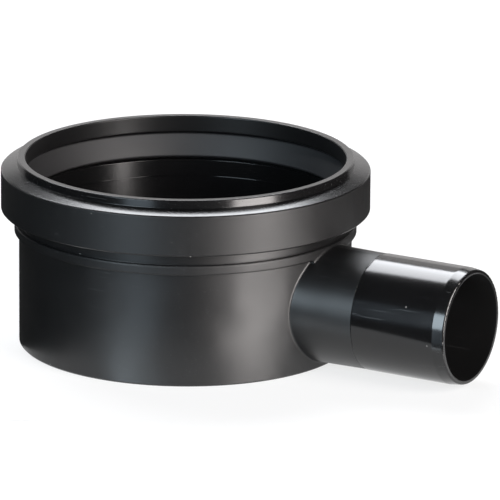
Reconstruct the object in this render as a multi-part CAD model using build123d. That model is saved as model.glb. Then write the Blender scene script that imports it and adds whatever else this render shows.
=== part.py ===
from build123d import *
from math import hypot, radians, tan
import os

# Gully trap: a low moulded pot with a ring-seal pipe socket on top and a level spigot outlet at its side.
# Millimetres, +Z up. The origin is the centre of the base on the socket's axis, and the outlet runs along +X.

# Socket for a 110 mm pipe: neck, bead over the seal groove, and mouth lip
socket_bore = 110.4
socket_wall = 2.2
socket_run = 5.8
neck_height = 4.5
groove_depth = 6.0
groove_width = 10.2
groove_floor = 2.1
groove_roof = 1.8
bead_wall = 2.4
bead_foot_bevel = 0.5
bead_top_bevel = 0.4
ledge_rise = 1.25
lip_wall = 2.8
lip_height = 2.75
lip_draft = 0.5
lip_bevel = 0.3

# Pot under the socket, and the collar that rings it
pipe_stop = 0.4
pot_floor = 2.8
base_bevel = 0.5
floor_bevel = 1.0
collar_height = 3.2
collar_step = 1.6
collar_land = 0.08
collar_bevel_height = 0.3
collar_bevel_depth = 0.12

# Outlet for a 40 mm pipe: a drafted stub on the pot, then the spigot
outlet_od = 40.2
outlet_wall = 1.8
outlet_lift = 1.65
stub_length = 20.0
stub_draft = 0.9
junction_round = 0.7
seam_bevel = 0.3
spigot_length = 35.3
spigot_step = 0.12
spigot_lead_length = 4.1
spigot_lead_depth = 0.5
spigot_end_round = 0.6

# Rubber lip ring in the groove
seal_heel = 3.4
seal_lip_thickness = 1.6
seal_lip_set_back = 1.7
seal_lip_reach = 1.9
seal_tip_height = 1.8
seal_bevel = 0.4
seal_side_clearance = 0.2
seal_roof_clearance = 0.9

# Radii about the socket's axis
socket_radius = socket_bore / 2
pot_radius = socket_radius + socket_wall
pot_bore_radius = socket_radius - pipe_stop
collar_radius = pot_radius + collar_step
groove_radius = socket_radius + groove_depth
bead_radius = groove_radius + bead_wall
lip_radius = socket_radius + lip_wall
lip_rim_radius = lip_radius - lip_height * tan(radians(lip_draft))

# Radii about the outlet's axis, and places along it
spigot_radius = outlet_od / 2
spigot_tip_radius = spigot_radius - spigot_lead_depth
outlet_bore_radius = spigot_radius - outlet_wall
stub_radius = spigot_radius - spigot_step
stub_root = pot_radius - spigot_radius
seam = pot_radius + stub_length
stub_end = seam - seam_bevel
stub_root_radius = stub_radius + (stub_end - stub_root) * tan(radians(stub_draft))
stub_collar_radius = stub_radius + (stub_end - collar_radius) * tan(radians(stub_draft))
outlet_end = seam + spigot_length
lead_start = outlet_end - spigot_lead_length

# Heights above the base
outlet_axis = outlet_lift + spigot_radius
collar_top = outlet_axis + stub_collar_radius + junction_round + collar_land
collar_foot = collar_top - collar_height
bead_foot = collar_top + neck_height
groove_low = bead_foot + groove_floor
groove_high = groove_low + groove_width
bead_top = groove_high + groove_roof
lip_foot = bead_top + ledge_rise
rim = lip_foot + lip_height
socket_end = groove_low - socket_run


def turned(outline):
    """Revolve a closed outline of (radius, height) points about the socket's axis."""
    return revolve(Plane.XZ * make_face(Polyline(*outline, close=True)), Axis.Z)


def along_outlet(solid):
    """Lay a turned solid along the outlet: its axis becomes the outlet's, its heights distances along it."""
    return Plane((0, 0, outlet_axis), x_dir=(0, 0, 1), z_dir=(1, 0, 0)) * solid


def ring(solid, radius, height):
    """The circular edge of a turned solid at this radius and height."""
    near = solid.edges().filter_by(GeomType.CIRCLE).sort_by(
        lambda edge: hypot(edge.radius - radius, edge.center().Z - height)
    )
    return near[0]


def turned_outside():
    """Outside of the pot, collar, neck, bead and mouth lip, solid through to the axis."""
    outside = turned([
        (0, 0),
        (pot_radius, 0),
        (pot_radius, collar_foot),
        (collar_radius, collar_foot),
        (collar_radius, collar_top),
        (pot_radius, collar_top),
        (pot_radius, bead_foot),
        (bead_radius, bead_foot),
        (bead_radius, bead_top - bead_top_bevel),
        (bead_radius - bead_top_bevel, bead_top),
        (lip_radius, lip_foot),
        (lip_rim_radius, rim),
        (0, rim),
    ])
    outside = chamfer(ring(outside, pot_radius, 0), base_bevel)
    outside = chamfer(ring(outside, bead_radius, bead_foot), bead_foot_bevel)
    return chamfer(ring(outside, lip_rim_radius, rim), lip_bevel)


def with_stub(outside):
    """The outlet's stub joined on, with a small fillet at the pot and the collar, then the collar's bevel."""
    stub = turned([(0, stub_root), (stub_root_radius, stub_root), (stub_radius, stub_end), (0, stub_end)])
    joined = outside + along_outlet(stub)
    stub_wall = joined.faces().filter_by(GeomType.CONE).sort_by(Axis.X)[-1]
    joined = fillet(stub_wall.edges().filter_by(GeomType.BSPLINE), junction_round)
    collar_edge = ring(joined, collar_radius, collar_top)
    collar_wall = joined.faces().filter_by(GeomType.CYLINDER).sort_by(
        lambda face: abs(face.radius - collar_radius)
    )[0]
    return chamfer(collar_edge, collar_bevel_height, collar_bevel_depth, reference=collar_wall)


def spigot():
    """Outside of the spigot: a bevelled seam at its root, a long shallow lead-in and a rounded end."""
    outside = turned([
        (0, stub_end),
        (stub_radius, stub_end),
        (stub_radius - seam_bevel, seam),
        (spigot_radius, seam),
        (spigot_radius, lead_start),
        (spigot_tip_radius, outlet_end),
        (0, outlet_end),
    ])
    return along_outlet(fillet(ring(outside, spigot_tip_radius, outlet_end), spigot_end_round))


def hollow():
    """Space inside the pot and the socket, with the seal groove and the edge bevels of the mouth lip."""
    return turned([
        (0, pot_floor),
        (pot_bore_radius - floor_bevel, pot_floor),
        (pot_bore_radius, pot_floor + floor_bevel),
        (pot_bore_radius, socket_end),
        (socket_radius, socket_end),
        (socket_radius, groove_low),
        (groove_radius, groove_low),
        (groove_radius, groove_high),
        (socket_radius + lip_bevel, groove_high),
        (socket_radius, groove_high + lip_bevel),
        (socket_radius, rim - lip_bevel),
        (socket_radius + lip_bevel, rim),
        (0, rim),
    ])


def outlet_bore():
    """Straight bore from the pot through the stub and the spigot."""
    bore = [(0, 0), (outlet_bore_radius, 0), (outlet_bore_radius, outlet_end), (0, outlet_end)]
    return along_outlet(turned(bore))


def seal_ring():
    """Heel that stands on the groove's floor, and a lip that slants in and down from its top."""
    outer = groove_radius - seal_side_clearance
    heel_inner = outer - seal_heel
    top = groove_high - seal_roof_clearance
    face_top = Vector(socket_radius + seal_lip_set_back, top)
    tip = Vector(socket_radius - seal_lip_reach, groove_low + seal_tip_height)
    up_the_lip = (face_top - tip).normalized()
    through_the_lip = Vector(up_the_lip.Y, -up_the_lip.X)
    tip_back = tip + through_the_lip * seal_lip_thickness
    crotch = tip_back + up_the_lip * ((heel_inner - tip_back.X) / up_the_lip.X)
    section = make_face(Polyline(
        (outer, groove_low),
        (outer, top),
        (face_top.X, face_top.Y),
        (tip.X, tip.Y),
        (tip_back.X, tip_back.Y),
        (crotch.X, crotch.Y),
        (heel_inner, groove_low),
        close=True,
    ))
    lip_corners = section.vertices().sort_by(Axis.X)[:3]
    return revolve(Plane.XZ * chamfer(lip_corners, seal_bevel), Axis.Z)


gully_body = with_stub(turned_outside()) + spigot() - hollow() - outlet_bore()
socket_seal = seal_ring()

os.makedirs("parts", exist_ok=True)
export_step(gully_body, "parts/gully_body.step")
export_step(socket_seal, "parts/socket_seal.step")
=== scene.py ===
import bpy
from math import atan2, cos, pi, radians, sin
from mathutils import Matrix, Vector


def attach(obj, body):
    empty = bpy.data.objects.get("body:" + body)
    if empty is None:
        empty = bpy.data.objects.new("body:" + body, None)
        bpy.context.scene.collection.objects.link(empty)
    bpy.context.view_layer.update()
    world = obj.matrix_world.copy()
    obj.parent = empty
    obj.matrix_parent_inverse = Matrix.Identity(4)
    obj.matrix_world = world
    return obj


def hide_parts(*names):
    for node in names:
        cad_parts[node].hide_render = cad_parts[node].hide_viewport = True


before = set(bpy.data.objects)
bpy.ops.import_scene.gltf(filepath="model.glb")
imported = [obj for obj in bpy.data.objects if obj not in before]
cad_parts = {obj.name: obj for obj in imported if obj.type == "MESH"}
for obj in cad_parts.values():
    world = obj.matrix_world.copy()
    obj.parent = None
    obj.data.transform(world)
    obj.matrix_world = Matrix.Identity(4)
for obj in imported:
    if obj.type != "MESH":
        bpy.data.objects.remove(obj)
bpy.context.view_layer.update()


# Gully body: one injection moulding of black polypropylene, with pot, socket and outlet in a single piece.
# The mould is spark-textured for the pot, the stub and, more coarsely, the bead and the collar. It is polished
# for the spigot, the mouth lip and the inside, so the one piece carries both a satin and a glossy finish.
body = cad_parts["gully_body"]
outlet_seam = 0.0771
lead_in_start = 0.1086
outlet_height = 0.02175
outlet_bore_radius = 0.0186
outlet_bore_start = 0.04
bead_foot_height = 0.0471
ledge_height = 0.0612
lip_radius = 0.05805
inner_wall_radius = 0.0556
groove_mid_height = 0.0545
pipe_stop_height = 0.043594
pipe_stop_band = 0.0003
collar_mid_height = 0.0412
collar_half_height = 0.0018
collar_foot_radius = 0.0576
edge_round = 0.0003
collar_round = 0.0009
edge_round_samples = 6
seam_blur = 0.0001
ledge_blur = 0.0002
zone_blur = 0.0003
inside_blur = 0.001
plastic_ior = 1.5
pot_grain = (0.018, 5.0)
bead_grain = (0.003, 3.0)
ledge_grain = (0.002, 3.0)
spigot_grain = (0.008, 4.0)
tone_grain = (0.014, 5.0)
pot_roughness = (0.32, 0.45)
bead_roughness = (0.40, 0.48)
ledge_roughness = (0.20, 0.25)
spigot_roughness = (0.11, 0.16)
lip_roughness = 0.18
lead_in_roughness = 0.16
pot_inside_roughness = 0.21
mouth_inside_roughness = 0.33
pipe_stop_roughness = 0.14
bore_roughness = 0.45
wave_grain = (0.03, 1.0)
wave_depth = 0.0013
spark_grain = (0.00035, 2.0)
spark_depth = 0.000006
spark_left_in_gloss = 0.1
scratch_grain = (0.0006, 2.0)
scratch_stretch = (40.0, 1.0, 1.0)
scratch_level = 0.70
scratch_blur = 0.04
scratch_roughness = 0.12
scratch_cover = 0.3
speck_spacing = 0.008
speck_radius = 0.00022
speck_share = 0.42
speck_roughness = 0.8
speck_cover = 0.8
black_tones = (0.0026, 0.0026, 0.0028, 1), (0.0050, 0.0049, 0.0051, 1)
scratch_tone = (0.03, 0.03, 0.03, 1)
speck_tone = (0.30, 0.29, 0.27, 1)


class Finish:
    """A material built of nodes, with its patterns on the piece's own Object coordinates."""

    def __init__(self, name):
        self.material = bpy.data.materials.new(name)
        self.material.use_nodes = True
        self.tree = self.material.node_tree
        self.shader = self.tree.nodes["Principled BSDF"]
        self.place = self.tree.nodes.new("ShaderNodeTexCoord").outputs["Object"]

    def node(self, kind, **settings):
        made = self.tree.nodes.new("ShaderNode" + kind)
        for name, value in settings.items():
            setattr(made, name, value)
        return made

    def feed(self, socket, value):
        if isinstance(value, bpy.types.NodeSocket):
            self.tree.links.new(value, socket)
        elif value is not None:
            socket.default_value = value

    def join(self, kind, *parts, **settings):
        """The first output of a new node of this kind, with the parts fed to its inputs in order."""
        made = self.node(kind, **settings)
        for socket, part in zip(made.inputs, parts):
            self.feed(socket, part)
        return made.outputs[0]

    def math(self, operation, *values):
        return self.join("Math", *values, operation=operation)

    def axes(self):
        made = self.node("SeparateXYZ")
        self.feed(made.inputs["Vector"], self.place)
        return made.outputs["X"], made.outputs["Y"], made.outputs["Z"]

    def distance(self, first, second):
        across = self.math("MULTIPLY", first, first)
        return self.math("SQRT", self.math("MULTIPLY_ADD", second, second, across))

    def step_up(self, value, edge, softness):
        """0 below the edge and 1 above it, with a smooth change over the given width."""
        made = self.node("MapRange", interpolation_type="SMOOTHSTEP")
        self.feed(made.inputs["Value"], value)
        made.inputs["From Min"].default_value = edge - softness / 2
        made.inputs["From Max"].default_value = edge + softness / 2
        return made.outputs["Result"]

    def blend(self, share, low, high):
        made = self.node("Mix", data_type="FLOAT")
        for name, value in (("Factor", share), ("A", low), ("B", high)):
            self.feed(made.inputs[name], value)
        return made.outputs["Result"]

    def tint(self, share, low, high):
        made = self.node("Mix", data_type="RGBA")
        share_input, low_input, high_input, result_output = 0, 6, 7, 2
        for index, value in ((share_input, share), (low_input, low), (high_input, high)):
            self.feed(made.inputs[index], value)
        return made.outputs[result_output]

    def noise(self, grain, detail, stretch=None):
        """Noise with this grain size in metres, drawn out along an axis by the stretch."""
        made = self.node("TexNoise")
        vector = self.place
        if stretch:
            squeeze = self.node("Mapping")
            squeeze.inputs["Scale"].default_value = [1 / s for s in stretch]
            self.feed(squeeze.inputs["Vector"], vector)
            vector = squeeze.outputs["Vector"]
        self.feed(made.inputs["Vector"], vector)
        made.inputs["Scale"].default_value = 1 / grain
        made.inputs["Detail"].default_value = detail
        return made.outputs["Fac"]

    def specks(self, spacing, radius, share):
        """1 on small round specks of dust, scattered on this share of the cells of a loose grid."""
        made = self.node("TexVoronoi")
        self.feed(made.inputs["Vector"], self.place)
        made.inputs["Scale"].default_value = 1 / spacing
        near = self.math("LESS_THAN", made.outputs["Distance"], radius / spacing)
        pick = self.node("SeparateColor")
        self.feed(pick.inputs["Color"], made.outputs["Color"])
        return self.math("MULTIPLY", near, self.math("LESS_THAN", pick.outputs["Red"], share))

    def bump(self, height, depth, under=None, share=None):
        made = self.node("Bump")
        self.feed(made.inputs["Strength"], share)
        self.feed(made.inputs["Height"], height)
        made.inputs["Distance"].default_value = depth
        self.feed(made.inputs["Normal"], under)
        return made.outputs["Normal"]

    def put_on(self, piece):
        piece.data.materials.clear()
        piece.data.materials.append(self.material)


plastic = Finish("black_polypropylene")
plastic.shader.inputs["IOR"].default_value = plastic_ior
x, y, z = plastic.axes()
from_axis = plastic.distance(x, y)
from_outlet_axis = plastic.distance(y, plastic.math("SUBTRACT", z, outlet_height))
on_spigot = plastic.step_up(x, outlet_seam, seam_blur)
on_lead_in = plastic.step_up(x, lead_in_start, zone_blur)
on_bead = plastic.step_up(z, bead_foot_height, zone_blur)
on_collar = plastic.math("MULTIPLY", plastic.math("COMPARE", z, collar_mid_height, collar_half_height),
                         plastic.math("GREATER_THAN", from_axis, collar_foot_radius))
on_ledge = plastic.step_up(z, ledge_height, ledge_blur)
on_lip = plastic.math("MULTIPLY", on_ledge, plastic.math("LESS_THAN", from_axis, lip_radius))
outside = plastic.step_up(from_axis, inner_wall_radius, ledge_blur)
at_pipe_stop = plastic.math("COMPARE", z, pipe_stop_height, pipe_stop_band)
in_bore = plastic.math("MULTIPLY", plastic.step_up(x, outlet_bore_start, inside_blur),
                       plastic.math("LESS_THAN", from_outlet_axis, outlet_bore_radius))

satin = plastic.blend(plastic.noise(*pot_grain), *pot_roughness)
bead_satin = plastic.blend(plastic.noise(*bead_grain), *bead_roughness)
ledge_satin = plastic.blend(plastic.noise(*ledge_grain), *ledge_roughness)
polish = plastic.blend(plastic.noise(*spigot_grain), *spigot_roughness)
scratches = plastic.step_up(plastic.noise(*scratch_grain, scratch_stretch), scratch_level, scratch_blur)
scratches = plastic.math("MULTIPLY", outside, scratches)
dust = plastic.math("MULTIPLY", outside, plastic.specks(speck_spacing, speck_radius, speck_share))

rough = plastic.blend(plastic.math("MAXIMUM", on_bead, on_collar), satin, bead_satin)
rough = plastic.blend(on_ledge, rough, ledge_satin)
rough = plastic.blend(on_lip, rough, lip_roughness)
in_mouth = plastic.step_up(z, groove_mid_height, inside_blur)
inside = plastic.blend(in_mouth, pot_inside_roughness, mouth_inside_roughness)
inside = plastic.blend(at_pipe_stop, inside, pipe_stop_roughness)
rough = plastic.blend(outside, inside, rough)
rough = plastic.blend(on_spigot, rough, polish)
rough = plastic.blend(on_lead_in, rough, lead_in_roughness)
rough = plastic.blend(in_bore, rough, bore_roughness)
rough = plastic.math("MULTIPLY_ADD", scratches, scratch_roughness, rough)
rough = plastic.blend(dust, rough, speck_roughness)
plastic.feed(plastic.shader.inputs["Roughness"], rough)

tone = plastic.tint(plastic.noise(*tone_grain), *black_tones)
tone = plastic.tint(plastic.math("MULTIPLY", scratches, scratch_cover), tone, scratch_tone)
tone = plastic.tint(plastic.math("MULTIPLY", dust, speck_cover), tone, speck_tone)
plastic.feed(plastic.shader.inputs["Base Color"], tone)

rounded = plastic.node("Bevel", samples=edge_round_samples)
edge = plastic.blend(on_collar, edge_round, collar_round)
plastic.feed(rounded.inputs["Radius"], plastic.blend(at_pipe_stop, edge, 0.0))
gloss_zone = plastic.math("MAXIMUM", on_spigot, on_lip)
spark_share = plastic.blend(gloss_zone, 1.0, spark_left_in_gloss)
spark = plastic.math("MULTIPLY", plastic.noise(*spark_grain), spark_share)
wavy = plastic.math("SUBTRACT", 1.0, plastic.math("MAXIMUM", on_spigot, on_bead))
wavy = plastic.math("MULTIPLY", wavy, outside)
uneven = plastic.bump(plastic.noise(*wave_grain), wave_depth, rounded.outputs["Normal"], wavy)
plastic.feed(plastic.shader.inputs["Normal"], plastic.bump(spark, spark_depth, uneven))
plastic.put_on(body)


# Socket seal: a ring of dark grey rubber, moulded with a slanted lip, pressed into the socket's groove by hand.
# Its corners are softly rounded, as rubber leaves the mould, and its face is matte, with fine grain and a trace
# of the talc that keeps such rings from sticking. One section, as (radius, height, corner round), is swept round.
seal_section = [
    (0.061000, 0.049394, 0.0004),
    (0.061000, 0.058694, 0.0006),
    (0.056900, 0.058694, 0.0008),
    (0.053300, 0.051194, 0.0007),
    (0.054742, 0.050502, 0.0007),
    (0.057600, 0.056456, 0.0005),
    (0.057600, 0.049394, 0.0004),
]
seal_path_radius = 0.0575
seal_path_steps = 180
seal_corner_steps = 6
rubber_roughness = (0.52, 0.66)
rubber_tones = (0.007, 0.007, 0.008, 1), (0.016, 0.016, 0.017, 1)
ring_mark_grain = (0.0014, 2.0)
ring_mark_stretch = (80.0, 80.0, 1.0)
ring_mark_share = 0.5
talc_grain = (0.010, 6.0)
rubber_grain = (0.0005, 3.0)
rubber_grain_depth = 0.00002

rubber = Finish("dark_rubber")
ring_marks = rubber.noise(*ring_mark_grain, ring_mark_stretch)
talc = rubber.blend(ring_mark_share, rubber.noise(*talc_grain), ring_marks)
rubber.feed(rubber.shader.inputs["Roughness"], rubber.blend(talc, *rubber_roughness))
rubber.feed(rubber.shader.inputs["Base Color"], rubber.tint(talc, *rubber_tones))
rubber.feed(rubber.shader.inputs["Normal"], rubber.bump(rubber.noise(*rubber_grain), rubber_grain_depth))

sweep = bpy.data.node_groups.new("swept_ring", "GeometryNodeTree")
sweep.interface.new_socket("Section", in_out="INPUT", socket_type="NodeSocketGeometry")
path_radius_input = sweep.interface.new_socket("Path Radius", in_out="INPUT", socket_type="NodeSocketFloat")
path_steps_input = sweep.interface.new_socket("Path Steps", in_out="INPUT", socket_type="NodeSocketInt")
corner_steps_input = sweep.interface.new_socket("Corner Steps", in_out="INPUT", socket_type="NodeSocketInt")
sweep.interface.new_socket("Ring", in_out="OUTPUT", socket_type="NodeSocketGeometry")
given = sweep.nodes.new("NodeGroupInput")
outline = sweep.nodes.new("GeometryNodeMeshToCurve")
corner_round = sweep.nodes.new("GeometryNodeInputNamedAttribute")
corner_round.data_type = "FLOAT"
corner_round.inputs["Name"].default_value = "corner_round"
soften = sweep.nodes.new("GeometryNodeFilletCurve")
soften.mode = "POLY"
soften.inputs["Limit Radius"].default_value = True
path = sweep.nodes.new("GeometryNodeCurvePrimitiveCircle")
swept = sweep.nodes.new("GeometryNodeCurveToMesh")
turned_out = sweep.nodes.new("GeometryNodeFlipFaces")
smooth = sweep.nodes.new("GeometryNodeSetShadeSmooth")
whole = sweep.nodes.new("GeometryNodeRealizeInstances")
coat = sweep.nodes.new("GeometryNodeSetMaterial")
coat.inputs["Material"].default_value = rubber.material
result = sweep.nodes.new("NodeGroupOutput")
for source, target in (
    (given.outputs["Section"], outline.inputs["Mesh"]),
    (outline.outputs["Curve"], soften.inputs["Curve"]),
    (corner_round.outputs["Attribute"], soften.inputs["Radius"]),
    (given.outputs["Corner Steps"], soften.inputs["Count"]),
    (given.outputs["Path Radius"], path.inputs["Radius"]),
    (given.outputs["Path Steps"], path.inputs["Resolution"]),
    (path.outputs["Curve"], swept.inputs["Curve"]),
    (soften.outputs["Curve"], swept.inputs["Profile Curve"]),
    (swept.outputs["Mesh"], turned_out.inputs["Mesh"]),
    (turned_out.outputs["Mesh"], smooth.inputs["Geometry"]),
    (smooth.outputs["Geometry"], whole.inputs["Geometry"]),
    (whole.outputs["Geometry"], coat.inputs["Geometry"]),
    (coat.outputs["Geometry"], result.inputs["Ring"]),
):
    sweep.links.new(source, target)

section_mesh = bpy.data.meshes.new("seal_section")
section_points = [(radius - seal_path_radius, -height, 0.0) for radius, height, corner in seal_section]
section_edges = [(i, (i + 1) % len(seal_section)) for i in range(len(seal_section))]
section_mesh.from_pydata(section_points, section_edges, [])
rounds = section_mesh.attributes.new("corner_round", "FLOAT", "POINT")
rounds.data.foreach_set("value", [corner for radius, height, corner in seal_section])
seal_ring = bpy.data.objects.new("rubber_lip_ring", section_mesh)
bpy.context.scene.collection.objects.link(seal_ring)
sweeper = seal_ring.modifiers.new("sweep", "NODES")
sweeper.node_group = sweep
sweeper[path_radius_input.identifier] = seal_path_radius
sweeper[path_steps_input.identifier] = seal_path_steps
sweeper[corner_steps_input.identifier] = seal_corner_steps
evaluated = seal_ring.evaluated_get(bpy.context.evaluated_depsgraph_get())
ring_mesh = bpy.data.meshes.new_from_object(evaluated)
seal_ring.modifiers.remove(sweeper)
seal_ring.data = ring_mesh
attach(seal_ring, "root")
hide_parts("socket_seal")


# Floor: a small white table under the part, level with a plain white sheet all round it.
# The part's gloss shows the table and the lamps but not the sheet beyond, as in a darkened studio.
# The table's varnish shows only in that gloss, so that the floor itself stays plain in the picture.
camera_place = Vector((1.12185, -1.85352, 0.64537))
camera_turn = atan2(camera_place.y, camera_place.x)
table_corners = [(0.096, -0.074), (0.096, 0.170), (-0.070, 0.170), (-0.070, -0.042)]
sheet_reach = 30.0
sheet_drop = 0.0003
paper_tone = (0.9, 0.9, 0.9, 1)
paper_roughness = 0.9
white_share = 0.75
varnish_tone = (0.0, 0.0, 0.0, 1)
varnish_roughness = 0.08
varnish_ior = 2.4

paper = Finish("white_paper")
paper.feed(paper.shader.inputs["Base Color"], paper_tone)
paper.feed(paper.shader.inputs["Roughness"], paper_roughness)
ray = paper.node("LightPath").outputs
seen = paper.math("ADD", ray["Is Camera Ray"], ray["Is Glossy Ray"])
seen = paper.math("ADD", seen, ray["Is Transmission Ray"])
white = paper.join("Emission")
plain = paper.join("MixShader", paper.math("MULTIPLY", seen, white_share), paper.shader.outputs[0], white)
varnish = paper.node("BsdfPrincipled")
for socket_name, value in (("Base Color", varnish_tone), ("Roughness", varnish_roughness), ("IOR", varnish_ior)):
    paper.feed(varnish.inputs[socket_name], value)
varnished = paper.join("AddShader", plain, varnish.outputs[0])
surface = paper.join("MixShader", ray["Is Glossy Ray"], plain, varnished)
paper.feed(paper.tree.nodes["Material Output"].inputs["Surface"], surface)


def flat_sheet(name, corners):
    mesh = bpy.data.meshes.new(name)
    mesh.from_pydata(corners, [], [range(len(corners))])
    mesh.materials.append(paper.material)
    sheet = bpy.data.objects.new(name, mesh)
    bpy.context.scene.collection.objects.link(sheet)
    return sheet


to_camera = Vector((cos(camera_turn), sin(camera_turn), 0.0))
to_right = Vector((-to_camera.y, to_camera.x, 0.0))
flat_sheet("table", [to_camera * ahead + to_right * aside for ahead, aside in table_corners])
sheet = flat_sheet("sheet", [(across * sheet_reach, along * sheet_reach, -sheet_drop)
                             for across, along in ((-1, -1), (1, -1), (1, 1), (-1, 1))])
sheet.visible_glossy = False
sheet.visible_shadow = False


# Camera: a long lens, set well back at the photograph's view of the part.
# It is rolled a little about its own axis, as the photograph is.
camera_aim = Vector((0.044466, -0.031401, 0.046118))
camera_roll = radians(0.4406)
camera = bpy.data.objects.new("camera", bpy.data.cameras.new("camera"))
camera.data.sensor_width = 36.0
camera.data.lens = 469.68
camera.data.clip_end = 100.0
camera.location = camera_place
view = (camera_aim - camera_place).to_track_quat("-Z", "Y")
camera.rotation_mode = "QUATERNION"
camera.rotation_quaternion = view @ Matrix.Rotation(camera_roll, 3, "Z").to_quaternion()
bpy.context.scene.collection.objects.link(camera)
bpy.context.scene.camera = camera


# Lights: softboxes and cards in a dark room, one softbox high behind the part and one to each side of the camera.
# Each is given as it is seen from the part, in degrees: its turn from the camera (positive is the picture's
# right), its height, its width and its tallness. Its brightness and its colour follow.
lamp_distance = 1.6
room_tone = (1.0, 0.97, 0.93, 1)
room_brightness = 0.03


def softbox(name, turn, height, width, tall, radiance, colour):
    around, lift = camera_turn + radians(turn), radians(height)
    lamp = bpy.data.lights.new(name, "AREA")
    lamp.shape = "RECTANGLE"
    lamp.size = 2 * lamp_distance * sin(radians(width / 2))
    lamp.size_y = 2 * lamp_distance * sin(radians(tall / 2))
    lamp.energy = radiance * pi * lamp.size * lamp.size_y
    lamp.color = colour
    holder = bpy.data.objects.new(name, lamp)
    holder.visible_camera = False
    back = Vector((cos(around) * cos(lift), sin(around) * cos(lift), sin(lift)))
    holder.location = back * lamp_distance
    holder.rotation_mode = "QUATERNION"
    holder.rotation_quaternion = back.to_track_quat("Z", "Y")
    bpy.context.scene.collection.objects.link(holder)


softbox("back_softbox", 196, 52.8, 50, 25.8, 11.2, (0.94, 0.96, 1.0))
softbox("left_softbox", -38, 19, 28, 28, 11.0, (0.76, 0.90, 1.0))
softbox("left_low_card", -31.5, -11, 19, 28, 2.1, (0.70, 0.86, 1.0))
softbox("left_card", -64, 16, 24, 32, 0.20, (0.62, 0.80, 1.0))
softbox("right_softbox", 47, 12, 32, 62, 15.0, (1.0, 0.95, 0.93))
softbox("back_card", 182, 9, 110, 24, 0.85, (1.0, 0.98, 0.98))
softbox("back_low_card", 180, 29, 16, 16, 0.85, (1.0, 0.98, 0.98))

room = bpy.data.worlds.new("dark_room")
room.use_nodes = True
room_glow = room.node_tree.nodes["Background"]
room_glow.inputs["Color"].default_value = room_tone
room_glow.inputs["Strength"].default_value = room_brightness
bpy.context.scene.world = room

bpy.context.scene.view_settings.view_transform = "Standard"
